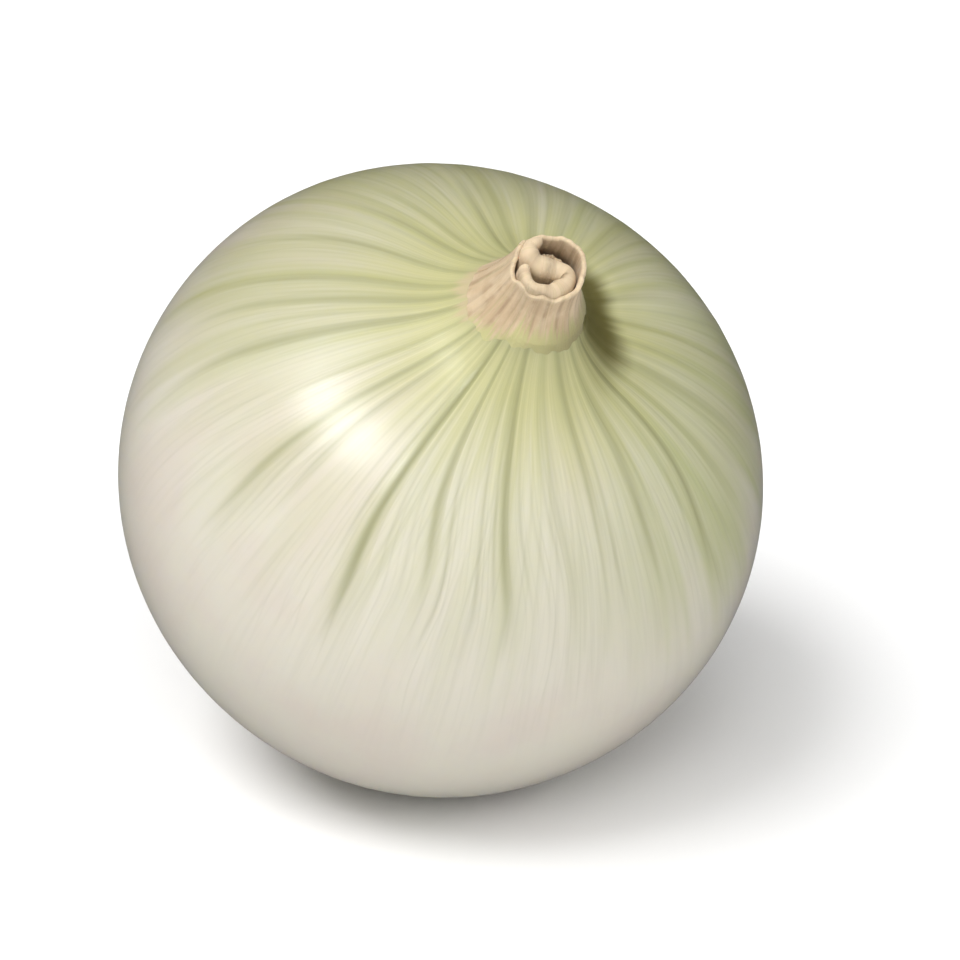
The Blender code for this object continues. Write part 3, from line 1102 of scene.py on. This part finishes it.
@dataclass
class Bulb:
    """The bulb with its skin, from the root recess round to the skin's edge at the neck."""

    growth: Growth
    columns: int = 336
    body_rings: int = 118
    shoulder_rings: int = 30
    lip_uneven: float = 0.7 * MM
    lip_thickness: float = 1.1 * MM
    socket_depth: float = 3.0 * MM
    recess_radius: float = 7.3 * MM
    recess_floor: float = -34.41 * MM
    recess_middle: float = 0.6
    recess_gap: float = 0.3 * MM
    recess_margin: float = 0.1 * MM
    lip_turns: tuple[float, ...] = (20, 60, 100, 150)
    lip_flatness: float = 0.3
    lip_band: float = 1.6 * MM
    axis_reach: float = 0.01 * MM

    def profile(self) -> list[tuple[float, float]]:
        """The outline, as (radius, height), from the middle of the recess to the middle of the socket."""
        growth = self.growth
        middle = self.recess_middle * self.recess_radius
        points = [(0.0, self.recess_floor), (middle, self.recess_floor)]
        points.append((self.recess_radius, self.recess_floor))
        start = -math.acos((self.recess_radius + self.recess_gap) / growth.radius)
        end = math.acos(growth.shoulder_radius / growth.radius)
        for ring in range(self.body_rings + 1):
            turn = start + (end - start) * ring / self.body_rings
            radius = growth.radius * math.cos(turn)
            height = growth.upper_height(radius) if turn > 0 else growth.lower_height(radius)
            points.append((radius, height))
        for ring in range(1, self.shoulder_rings + 1):
            share = ring / self.shoulder_rings
            span = growth.lip_radius - growth.shoulder_radius
            radius = growth.shoulder_radius + span * math.sin(share * math.pi / 2)
            points.append((radius, growth.upper_height(radius)))
        top = growth.lip_height()
        reach = self.lip_thickness / 2
        for turn in self.lip_turns:
            radius = growth.lip_radius - reach + reach * math.cos(math.radians(turn))
            points.append((radius, top + self.lip_flatness * reach * math.sin(math.radians(turn))))
        inner = growth.lip_radius - self.lip_thickness
        points.append((inner, top - self.socket_depth))
        points.append((0.0, top - self.socket_depth))
        return points

    def build(self) -> bpy.types.Object:
        """Models the bulb.

        Returns:
            The piece.
        """
        growth = self.growth
        outline = self.profile()
        rings = len(outline) - 1
        deselect_all()
        bpy.ops.mesh.primitive_uv_sphere_add(
            segments=self.columns, ring_count=rings, radius=growth.radius, location=(0, 0, 0)
        )
        piece = start_piece("bulb_skin")
        turns: list[float | None] = []
        rises: list[float] = []
        girths: list[float] = []
        around: list[Vector] = []
        dry: list[float] = []
        creases: list[float] = []

        def shape(point: Vector) -> Vector:
            """Carries one point of the sphere to its place on the bulb."""
            across = math.hypot(point.x, point.y)
            ring = round((math.asin(max(-1.0, min(1.0, point.z / growth.radius))) / math.pi + 0.5) * rings)
            radius, height = outline[ring]
            angle = math.atan2(point.y, point.x)
            on_axis = across < self.axis_reach
            rise = height / growth.half_height
            turns.append(None if on_axis else (growth.veins.read_at(angle, rise) / math.tau) % 1.0)
            upright = growth.spread(angle, radius, height)
            rises.append(rise)
            girths.append(radius)
            dry.append(growth.dryness(angle, radius) if height > 0 else 0.0)
            # The crease mask that the skin's painted olive shade follows.
            creases.append(growth.crease(angle, radius) if height > 0 else 0.0)
            around.append(Vector((math.cos(angle), math.sin(angle), rise)))
            if radius > max(growth.lip_radius - self.lip_thickness, self.recess_radius + self.recess_margin):
                upright = growth.swell(angle, upright)
            near_lip = smooth(growth.lip_height() - self.lip_band, growth.lip_height(), height)
            upright.z += self.lip_uneven * wave(angle, 1.7) * near_lip
            return growth.place(upright)

        reshape(piece, shape)
        turn_map(piece, turns, rises)
        for name, numbers in (("rise", rises), ("girth", girths), ("dry", dry), ("crease", creases)):
            keep_numbers(piece, name, numbers)
        keep_vectors(piece, "around", around)
        finish_mesh(piece)
        return piece


@dataclass
class SheetNotes:
    """What the neck's material reads from each point of a sheet."""

    around: list[Vector] = field(default_factory=list)
    ups: list[float] = field(default_factory=list)
    numbers: dict[str, list[float]] = field(default_factory=dict)

    def add(self, angle: float, up: float, **numbers: float) -> None:
        """Notes one point.

        Args:
            angle: The angle round the axis.
            up: From 0 at the foot to 1 at the rim.
            numbers: From 0 to 1, how near it is to the cut rim, how dry, how high on a pleat, and how much
                painted shade it takes by the crease.
        """
        self.around.append(Vector((math.cos(angle), math.sin(angle), up)))
        self.ups.append(up)
        for name, number in numbers.items():
            self.numbers.setdefault(name, []).append(number)

    def keep(self, piece: bpy.types.Object) -> None:
        """Stores the notes as the piece's attributes.

        Args:
            piece: The sheet.
        """
        keep_vectors(piece, "around", self.around)
        for name, numbers in self.numbers.items():
            keep_numbers(piece, name, numbers)


@dataclass(frozen=True)
class Sheath:
    """The outer sheath: a dried, pleated tube with a torn rim and a skirt that lies on the shoulder."""

    rim: float = 4.05 * MM
    wall: float = 0.62 * MM
    height: float = 7.4 * MM
    slope: float = 1.1 * MM
    low_side: float = math.radians(-30)
    teeth: float = 0.5 * MM
    flatten: float = 0.05
    skirt: float = 0.9 * MM
    skirt_side: float = math.radians(-95)
    skirt_share: float = 0.3
    skirt_lift: float = 0.3 * MM
    sunk: float = 0.22 * MM
    pleat: float = 0.065 * MM
    shade_turn: float = math.radians(36)
    fine_teeth: float = 0.05 * MM
    overlap: float = 0.1 * MM
    skirt_least: float = 0.55 * MM
    skirt_power: float = 1.3
    skirt_ragged: float = 0.4 * MM
    seam: float = math.radians(235)
    curl: float = math.radians(359.4)
    unround: float = 0.2 * MM
    hang_power: float = 2.4
    hang_eases: float = 1.1
    rim_cut: tuple[float, float] = (0.86, 1.0)
    shade_reach: tuple[float, float] = (0.15, 0.7)
    dry_reach: tuple[float, float] = (0.3, 0.75)


@dataclass(frozen=True)
class Fold:
    """An inner sheath, dried to one thick fold: where it runs seen from above, its height and its low end.

    Each stop is (right, far, thickness) in millimetres, seen from the front of the lying onion.
    """

    name: str
    stops: tuple[tuple[float, float, float], ...]
    height: float
    slope: float
    wave_offset: float
    teeth: float = 0.22 * MM
    fine_teeth: float = 0.08 * MM
    ripple: float = 0.012
    rim_cut: tuple[float, float] = (0.8, 1.0)


@dataclass
class Neck:
    """The dried, cut neck: an outer sheath round thick inner folds, with hollows between them."""

    growth: Growth
    sheath: Sheath = field(default_factory=Sheath)
    cells_round: int = 168
    cells_up: int = 34
    cells_along: int = 80
    row_packing: float = 1.5
    thinnest: float = 0.12
    socket_depth: float = 2.8 * MM
    facing_right: float = math.radians(87)
    folds_low_side: float = math.radians(40)
    fold_radius: float = 3.0 * MM

    def folds(self) -> list[Fold]:
        """The inner folds: the thick one runs in an S and leaves a slit in front and a hollow behind."""
        main_run = (
            (-3.1, -0.5, 1.3), (-3.05, -1.8, 1.3), (-2.1, -2.8, 1.1), (-0.7, -3.0, 1.3), (0.6, -2.6, 2.0),
            (1.8, -1.8, 2.6), (2.3, -0.6, 2.5), (1.5, 0.1, 2.5), (0.1, 0.3, 2.9), (-1.4, 0.4, 3.0),
            (-2.4, 1.1, 2.6), (-2.4, 2.2, 1.8), (-1.3, 3.1, 1.0),
        )
        deep_run = ((-0.4, 2.6, 0.5), (0.7, 2.8, 0.7), (1.8, 2.3, 0.7), (2.6, 1.5, 0.6))
        return [
            Fold("inner_fold", main_run, 7.8 * MM, 0.8 * MM, 5.6),
            Fold("deep_fold", deep_run, 5.6 * MM, 0.3 * MM, 7.9),
        ]

    def rim_height(self, angle: float) -> float:
        """Height of the outer sheath's torn, sloping rim.

        Args:
            angle: The angle round the axis.

        Returns:
            The height.
        """
        sheath = self.sheath
        torn = -sheath.slope * math.cos(angle - sheath.low_side)
        torn += sheath.teeth * (wave(2 * angle, 3.3) + 0.4 * math.sin(9 * angle + 3.3))
        torn += sheath.fine_teeth * math.sin(23 * angle + 6.6)
        return self.growth.lip_height() + sheath.height + torn

    def skirt_reach(self, angle: float) -> float:
        """How far the ragged skirt lies out over the shoulder.

        Args:
            angle: The angle round the axis.

        Returns:
            The distance from the axis.
        """
        sheath = self.sheath
        side = max(0.0, math.cos(angle - sheath.skirt_side)) ** sheath.skirt_power
        ragged = 0.6 * wave(2 * angle, 4.0) + 0.35 * math.sin(13 * angle) + 0.25 * math.sin(29 * angle + 1.0)
        least = self.growth.lip_radius + sheath.skirt_least
        return least + sheath.skirt * side + sheath.skirt_ragged * ragged

    def outline(self, angle: float, up: float) -> tuple[float, float]:
        """The upright outline of the outer sheath, from the skirt's edge to the rim.

        Args:
            angle: The angle round the axis.
            up: From 0 at the skirt's edge to 1 at the rim.

        Returns:
            Distance from the axis and height.
        """
        growth = self.growth
        sheath = self.sheath
        edge = growth.lip_radius - sheath.overlap
        lift = sheath.skirt_lift + sheath.sunk
        if up < sheath.skirt_share:
            share = up / sheath.skirt_share
            out = self.skirt_reach(angle)
            radius = out + (edge - out) * share
            skin = growth.upper_height(radius) - growth.sunk_by(angle, radius)
            return radius, skin + lift * share - sheath.sunk
        share = (up - sheath.skirt_share) / (1 - sheath.skirt_share)
        low = growth.upper_height(edge) + sheath.skirt_lift
        leaned = max(0.0, math.cos(angle - sheath.skirt_side))
        hang = (edge - sheath.rim) * (1 - share) ** (sheath.hang_power - sheath.hang_eases * leaned)
        return sheath.rim + hang, low + (self.rim_height(angle) - low) * share

    def narrowed(self, angle: float, radius: float, height: float, wall: float) -> Vector:
        """An upright point of the neck, squeezed a little towards its top.

        Args:
            angle: The angle round the axis.
            radius: Distance from the axis.
            height: Height along the axis.
            wall: From 0 at the foot to 1 at the rim.

        Returns:
            The point.
        """
        narrow = self.sheath.flatten * wall
        x = radius * (1 - narrow) * math.cos(angle)
        return Vector((x, radius * (1 + narrow) * math.sin(angle), height))

    def build_sheath(self) -> bpy.types.Object:
        """Models the outer sheath as a curled, pleated sheet.

        Returns:
            The piece.
        """
        growth = self.growth
        sheath = self.sheath
        deselect_all()
        bpy.ops.mesh.primitive_grid_add(
            x_subdivisions=self.cells_round, y_subdivisions=self.cells_up, size=1.0, location=(0, 0, 0)
        )
        piece = start_piece("outer_sheath")
        notes = SheetNotes()
        skirts: list[float] = []

        def shape(point: Vector) -> Vector:
            """Carries one point of the grid to its place on the sheath."""
            up = 1 - (0.5 - point.y) ** self.row_packing
            angle = sheath.seam + sheath.curl * (point.x + 0.5)
            radius, height = self.outline(angle, up)
            wall = smooth(sheath.skirt_share, 1.0, up)
            radius += sheath.unround * wall * wave(2 * angle, 4.3)
            crests = 0.6 * math.sin(19 * angle + 1.2 * up + 3.3) + 0.4 * math.sin(33 * angle - 2.0 * up)
            crests += 0.35 * wave(11 * angle, 2.0)
            raised = sheath.pleat * crests * (1 - 0.75 * wall) * smooth(0.0, 0.3, up)
            skirt = 1 - smooth(0.0, sheath.skirt_share + 0.12, up)
            dry = max(smooth(*sheath.dry_reach, up), growth.dryness(angle, radius))
            # Painted shade mask for the sheath: strongest low on the side that faces the crease.
            facing = max(0.0, math.cos(angle - growth.crease_side + sheath.shade_turn))
            crease = facing**1.5 * (1 - smooth(*sheath.shade_reach, up))
            cut = smooth(*sheath.rim_cut, up)
            notes.add(angle, up, cut=cut, dry=dry, pleat=0.5 + 0.5 * crests, crease=crease)
            skirts.append(skirt)
            upright = self.narrowed(angle, radius, height, wall)
            out = Vector((math.cos(angle), math.sin(angle), 0.0)) * wall
            return growth.place(upright + (out + Vector((0.0, 0.0, 1.0 - wall))).normalized() * raised)

        reshape(piece, shape)
        thickness = [1 - 0.7 * skirt for skirt in skirts]
        return self.finish_sheet(piece, notes, sheath.wall, thickness)

    def build_fold(self, fold: Fold) -> bpy.types.Object:
        """Models one thick inner fold.

        Args:
            fold: The fold's sizes.

        Returns:
            The piece.
        """
        growth = self.growth
        deselect_all()
        bpy.ops.mesh.primitive_grid_add(
            x_subdivisions=self.cells_along, y_subdivisions=self.cells_up, size=1.0, location=(0, 0, 0)
        )
        piece = start_piece(fold.name)
        notes = SheetNotes()
        stops = [Vector(stop) * MM for stop in fold.stops]
        thickest = max(stop.z for stop in stops)
        thickness: list[float] = []

        def shape(point: Vector) -> Vector:
            """Carries one point of the grid to its place on the fold."""
            up = 1 - (0.5 - point.y) ** self.row_packing
            stop = along(stops, point.x + 0.5)
            thickness.append(stop.z / thickest)
            plan = Matrix.Rotation(self.facing_right, 3, "Z") @ Vector((stop.x, stop.y, 0.0))
            angle = math.atan2(plan.y, plan.x)
            low = growth.lip_height() - self.socket_depth
            torn = fold.teeth * wave(9 * point.x, fold.wave_offset)
            torn += fold.fine_teeth * math.sin(40 * point.x)
            top = growth.lip_height() + fold.height + torn
            top -= fold.slope * math.cos(angle - self.folds_low_side) * stop.xy.length / self.fold_radius
            crests = math.sin(34 * point.x + 1.5 * up + fold.wave_offset) + 0.5 * math.sin(61 * point.x)
            plan *= 1 + fold.ripple * crests
            cut = smooth(*fold.rim_cut, up)
            notes.add(angle, up, cut=cut, dry=1.0, pleat=0.5 + 0.3 * crests, crease=0.0)
            return growth.place(Vector((plan.x, plan.y, low + (top - low) * up)))

        reshape(piece, shape)
        return self.finish_sheet(piece, notes, thickest, thickness)

    def finish_sheet(
        self, piece: bpy.types.Object, notes: SheetNotes, wall: float, thickness: list[float]
    ) -> bpy.types.Object:
        """Thickens a sheet, rounds its rim and smooths it.

        Args:
            piece: The bare sheet.
            notes: What its material reads.
            wall: The thickness where the share is 1.
            thickness: Each point's share of the thickness.

        Returns:
            The piece.
        """
        notes.keep(piece)
        finish_mesh(piece)
        thick = piece.vertex_groups.new(name="thick")
        tall = self.sheath.height + self.socket_depth
        for vert, share, up in zip(piece.data.vertices, thickness, notes.ups):
            under = (1 - up) * tall / (0.5 * wall * share)
            dome = math.sqrt(max(0.0, 1 - max(0.0, 1 - under) ** 2))
            thick.add([vert.index], max(self.thinnest, dome) * share, "REPLACE")
        shell = piece.modifiers.new("wall", "SOLIDIFY")
        shell.thickness = wall
        shell.offset = 0.0
        shell.vertex_group = thick.name
        round_off = piece.modifiers.new("round_off", "SUBSURF")
        round_off.levels = 1
        round_off.render_levels = 1
        apply_modifiers(piece)
        return piece

    def build(self, finish: bpy.types.Material) -> None:
        """Models and dresses the neck.

        Args:
            finish: The sheaths' material.
        """
        hand_over(self.build_sheath(), finish, Slot.NECK, "neck")
        for fold in self.folds():
            hand_over(self.build_fold(fold), finish, Slot.NECK, "neck")


@dataclass
class Roots:
    """The root plate and its cut roots."""

    growth: Growth
    plate_radius: float = 7.0 * MM
    plate_dome: float = 1.1 * MM
    plate_columns: int = 96
    plate_rings: int = 48
    plate_edge: float = 1.3 * MM
    plate_widens: float = 1.08
    plate_steepens: float = 2.2
    plate_strand: float = 0.2
    plate_tip: float = 0.1
    knobs: float = 0.16 * MM
    recess_floor: float = -34.41 * MM
    gap: float = 0.3 * MM
    rootlets: int = 54
    rootlet_radius: float = 0.45 * MM
    lengths: tuple[float, float] = (2.6 * MM, 5.4 * MM)
    splay: float = math.radians(46)
    sunk: float = 0.9 * MM
    taper: float = 0.88
    bends: int = 3
    floor_gap: float = 0.5 * MM
    sides: int = 9
    rings: int = 12
    seed: int = 11
    turn_draw: float = 0.2
    splay_draw: float = 0.15
    curl_draw: float = 0.22
    lumps: float = 0.13
    tip_taper: float = 0.35

    def build_plate(self) -> bpy.types.Object:
        """Models the root plate.

        Returns:
            The piece.
        """
        growth = self.growth
        deselect_all()
        bpy.ops.mesh.primitive_uv_sphere_add(
            segments=self.plate_columns, ring_count=self.plate_rings, radius=1.0, location=(0, 0, 0)
        )
        piece = start_piece("root_plate")
        rim = growth.lower_height(self.plate_radius)
        top = self.recess_floor - self.gap

        def shape(point: Vector) -> Vector:
            """Carries one point of the sphere to its place on the plate."""
            across = math.hypot(point.x, point.y)
            angle = math.atan2(point.y, point.x)
            radius = self.plate_radius * min(1.0, across * self.plate_widens)
            knobs = math.sin(11 * angle + 14 * across) * math.sin(19 * across - 5 * angle)
            if point.z > 0:
                height = rim + (top - rim) * min(1.0, self.plate_steepens * point.z)
            else:
                height = rim - self.plate_dome * (1 - across**2) + self.knobs * knobs * across
            return growth.place(Vector((radius * math.cos(angle), radius * math.sin(angle), height)))

        reshape(piece, shape)
        for name, number in (("strand", self.plate_strand), ("tip", self.plate_tip)):
            keep_numbers(piece, name, [number] * len(piece.data.vertices))
        finish_mesh(piece)
        return piece

    def model_rootlet(self) -> bpy.types.Object:
        """Models one straight, closed rootlet along Z, from 0 to 1, that the others are copied from.

        Returns:
            The piece.
        """
        deselect_all()
        bpy.ops.mesh.primitive_circle_add(
            vertices=self.sides, radius=1.0, fill_type="TRIFAN", location=(0, 0, 0)
        )
        piece = start_piece("rootlet_pattern")
        bpy.ops.object.mode_set(mode="EDIT")
        bpy.ops.mesh.select_all(action="SELECT")
        for _ in range(self.rings):
            bpy.ops.mesh.extrude_region_move(
                TRANSFORM_OT_translate={"value": (0, 0, 1 / self.rings)}
            )
        bpy.ops.object.mode_set(mode="OBJECT")
        return piece

    def route(self, foot: Vector, heading: Vector, curl: Vector, length: float) -> list[Vector]:
        """The points that one rootlet bends through.

        Args:
            foot: Where it starts, sunk in the plate.
            heading: Its first direction.
            curl: What turns it at each bend.
            length: How far it stands out.

        Returns:
            The points, upright.
        """
        step = (length + self.sunk) / self.bends
        points = [foot.copy()]
        for _ in range(self.bends):
            points.append(points[-1] + heading * step)
            heading = (heading + curl).normalized()
        return points

    def bend_rootlet(self, piece: bpy.types.Object, points: list[Vector], phase: float) -> None:
        """Bends a straight rootlet along a route and gives it its girth.

        Args:
            piece: A copy of the pattern.
            points: The route.
            phase: Where its lumps start.
        """
        growth = self.growth

        def shape(point: Vector) -> Vector:
            """Carries one point of the pattern to its place on the rootlet."""
            share = max(0.0, min(1.0, point.z))
            middle = along(points, share)
            ahead = along(points, min(1.0, share + 0.02)) - along(points, max(0.0, share - 0.02))
            turn = ahead.to_track_quat("Z", "Y").to_matrix()
            radius = self.rootlet_radius * self.taper ** (self.bends * share)
            lumps = self.lumps * math.sin(9 * share + phase)
            radius *= 1 + lumps - self.tip_taper * smooth(0.9, 1.0, share)
            return growth.place(middle + turn @ Vector((point.x * radius, point.y * radius, 0.0)))

        reshape(piece, shape)

    def build_rootlets(self) -> bpy.types.Object:
        """Models the rootlets, spread over the plate, and joins them.

        Returns:
            The piece.
        """
        growth = self.growth
        draw = random.Random(self.seed)
        lie = growth.lie()
        rim = growth.lower_height(self.plate_radius)
        golden = math.pi * (3 - math.sqrt(5))
        pattern = self.model_rootlet()
        tips = [max(0.0, min(1.0, vert.co.z)) for vert in pattern.data.vertices]
        copies: list[bpy.types.Object] = []
        for number in range(self.rootlets):
            share = math.sqrt((number + 0.5) / self.rootlets)
            angle = number * golden + draw.uniform(-self.turn_draw, self.turn_draw)
            out = Vector((math.cos(angle), math.sin(angle), 0.0))
            splay = self.splay * share + draw.uniform(-self.splay_draw, self.splay_draw)
            heading = (out * math.sin(splay) - Vector((0, 0, math.cos(splay)))).normalized()
            reach = (self.plate_radius - self.plate_edge) * share
            dome = rim - self.plate_dome * (1 - share**2)
            foot = out * reach + Vector((0, 0, dome)) - heading * self.sunk
            curl = Vector([draw.uniform(-self.curl_draw, self.curl_draw) for _ in range(3)])
            length = draw.uniform(*self.lengths)
            drop = (lie.to_3x3() @ heading).z
            room = (lie @ foot).z - self.floor_gap - 2 * self.rootlet_radius
            if drop < 0:
                length = min(length, room / -drop - self.sunk)
            piece = pattern.copy()
            piece.data = pattern.data.copy()
            piece.name = f"rootlet_{number}"
            bpy.context.scene.collection.objects.link(piece)
            self.bend_rootlet(piece, self.route(foot, heading, curl, length), angle)
            keep_numbers(piece, "strand", [(0.37 * number) % 1.0] * len(tips))
            keep_numbers(piece, "tip", tips)
            copies.append(piece)
        bpy.data.objects.remove(pattern)
        deselect_all()
        for piece in copies:
            piece.select_set(True)
        bpy.context.view_layer.objects.active = copies[0]
        bpy.ops.object.join()
        piece = start_piece("rootlets")
        finish_mesh(piece)
        return piece

    def build(self, finish: bpy.types.Material) -> None:
        """Models and dresses the roots.

        Args:
            finish: The roots' material.
        """
        hand_over(self.build_plate(), finish, Slot.ROOTS, "roots")
        hand_over(self.build_rootlets(), finish, Slot.ROOTS, "roots")


@dataclass(frozen=True)
class Lamp:
    """A broad, distant lamp that lights without showing in the gloss."""

    name: str
    shines_from: tuple[float, float, float]
    power: float
    spread: float


@dataclass
class Studio:
    """The pale floor, the soft light and the camera."""

    growth: Growth
    elevation: float = math.radians(26)
    distance: float = 0.417
    lens: float = 120.0
    sensor: float = 36.0
    picture: int = 960
    centre_at: tuple[float, float] = (442.0, 477.0)
    floor_size: float = 4.0
    floor_tone: float = 0.89
    floor_roughness: float = 0.9
    floor_shine: float = 0.1
    box_from: tuple[float, float, float] = (-0.45, -0.535, 0.715)
    box_distance: float = 0.75
    box_size: tuple[float, float] = (0.17, 0.42)
    box_power: float = 1.45
    box_turn: float = math.radians(72)
    room_light: float = 0.12
    room_sides: Colour = (0.10, 0.105, 0.09)
    room_pale: Colour = (1.0, 1.0, 0.98)
    room_overhead: tuple[float, float] = (0.25, 0.9)
    room_below: tuple[float, float] = (-0.15, -0.7)

    @staticmethod
    def lamps() -> list[Lamp]:
        """The lamps: the key from the front left, and fills in front, behind, at the right and low down."""
        return [
            Lamp("key", (-0.46, -0.21, 0.86), 2.02, math.radians(34)),
            Lamp("front_fill", (0.0, -0.56, 0.83), 1.68, math.radians(50)),
            Lamp("back_fill", (-0.5, 0.35, 0.79), 0.43, math.radians(50)),
            Lamp("right_fill", (0.7, -0.5, 0.5), 0.83, math.radians(40)),
            Lamp("low_fill", (-0.3, -0.9, 0.3), 0.42, math.radians(40)),
        ]

    def build_floor(self) -> None:
        """Lays the floor."""
        deselect_all()
        bpy.ops.mesh.primitive_plane_add(size=self.floor_size, location=(0, 0, 0))
        floor = start_piece("floor")
        made, _, shader = start_material("pale_floor")
        shader.inputs["Base Color"].default_value = (self.floor_tone,) * 3 + (1.0,)
        shader.inputs["Roughness"].default_value = self.floor_roughness
        shader.inputs["Specular IOR Level"].default_value = self.floor_shine
        floor.data.materials.append(made)
        floor.visible_glossy = False

    def build_lights(self) -> None:
        """Hangs the broad lamps, and the soft box that shows in the gloss."""
        for lamp in self.lamps():
            sun = bpy.data.lights.new(lamp.name, "SUN")
            sun.energy = lamp.power
            sun.angle = lamp.spread
            self.hang(sun, Vector(lamp.shines_from)).visible_glossy = False
        box = bpy.data.lights.new("soft_box", "AREA")
        box.shape = "RECTANGLE"
        box.size, box.size_y = self.box_size
        box.energy = self.box_power
        hung = self.hang(box, Vector(self.box_from) * self.box_distance)
        hung.rotation_euler.rotate_axis("Z", self.box_turn)
        hung.visible_diffuse = False

    def hang(self, light: bpy.types.Light, place: Vector) -> bpy.types.Object:
        """Puts a light in place, facing the onion.

        Args:
            light: The light.
            place: Where it hangs, from the onion's centre.

        Returns:
            The light's object.
        """
        made = bpy.data.objects.new(light.name, light)
        bpy.context.scene.collection.objects.link(made)
        made.location = Vector(self.growth.centre) + place
        made.rotation_euler = place.to_track_quat("Z", "Y").to_euler()
        return made

    def build_room(self) -> None:
        """Sets the light that comes from all round: pale overhead and below, darker at the sides."""
        world = bpy.data.worlds.new("room")
        bpy.context.scene.world = world
        world.use_nodes = True
        graph = Graph(world.node_tree)
        background = world.node_tree.nodes["Background"]
        direction = graph.node("SeparateXYZ")
        graph.feed(direction.inputs[0], graph.node("TexCoord").outputs["Generated"])
        overhead = graph.step(direction.outputs["Z"], *self.room_overhead)
        below = graph.step(direction.outputs["Z"], *self.room_below)
        sides = graph.mix(below, self.room_sides, self.room_pale)
        graph.feed(background.inputs["Color"], graph.mix(overhead, sides, self.room_pale))
        background.inputs["Strength"].default_value = self.room_light

    def build_camera(self) -> None:
        """Puts the camera at the photograph's viewing angle, the onion where it is in the frame."""
        lens = bpy.data.cameras.new("camera")
        lens.lens = self.lens
        lens.sensor_width = self.sensor
        camera = bpy.data.objects.new("camera", lens)
        bpy.context.scene.collection.objects.link(camera)
        back = Vector((0.0, -math.cos(self.elevation), math.sin(self.elevation)))
        up = Vector((0.0, math.sin(self.elevation), math.cos(self.elevation)))
        pixel = self.sensor / self.lens / self.picture * self.distance
        aside = (self.picture / 2 - self.centre_at[0]) * pixel
        above = (self.centre_at[1] - self.picture / 2) * pixel
        camera.location = (
            Vector(self.growth.centre) + back * self.distance + Vector((aside, 0, 0)) + up * above
        )
        camera.rotation_euler = (math.radians(90) - self.elevation, 0.0, 0.0)
        bpy.context.scene.camera = camera

    def build(self) -> None:
        """Sets up the floor, lights, room and camera."""
        self.build_floor()
        self.build_lights()
        self.build_room()
        self.build_camera()
        bpy.context.scene.view_settings.view_transform = "Standard"


def write_sizes() -> None:
    """Updates the view layer."""
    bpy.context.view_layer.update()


def main() -> None:
    """Builds the onion's pieces in order, then the studio round them."""
    logging.basicConfig(level=logging.INFO, format="%(name)s: %(message)s")
    growth = Growth()
    effects = SharedEffects()
    hand_over(Bulb(growth).build(), SkinFinish().build(growth, effects), Slot.SKIN, "bulb")
    Neck(growth).build(SheathFinish().build(effects))
    Roots(growth).build(RootFinish().build(effects))
    Studio(growth).build()
    write_sizes()


if __name__ == "__main__":
    main()
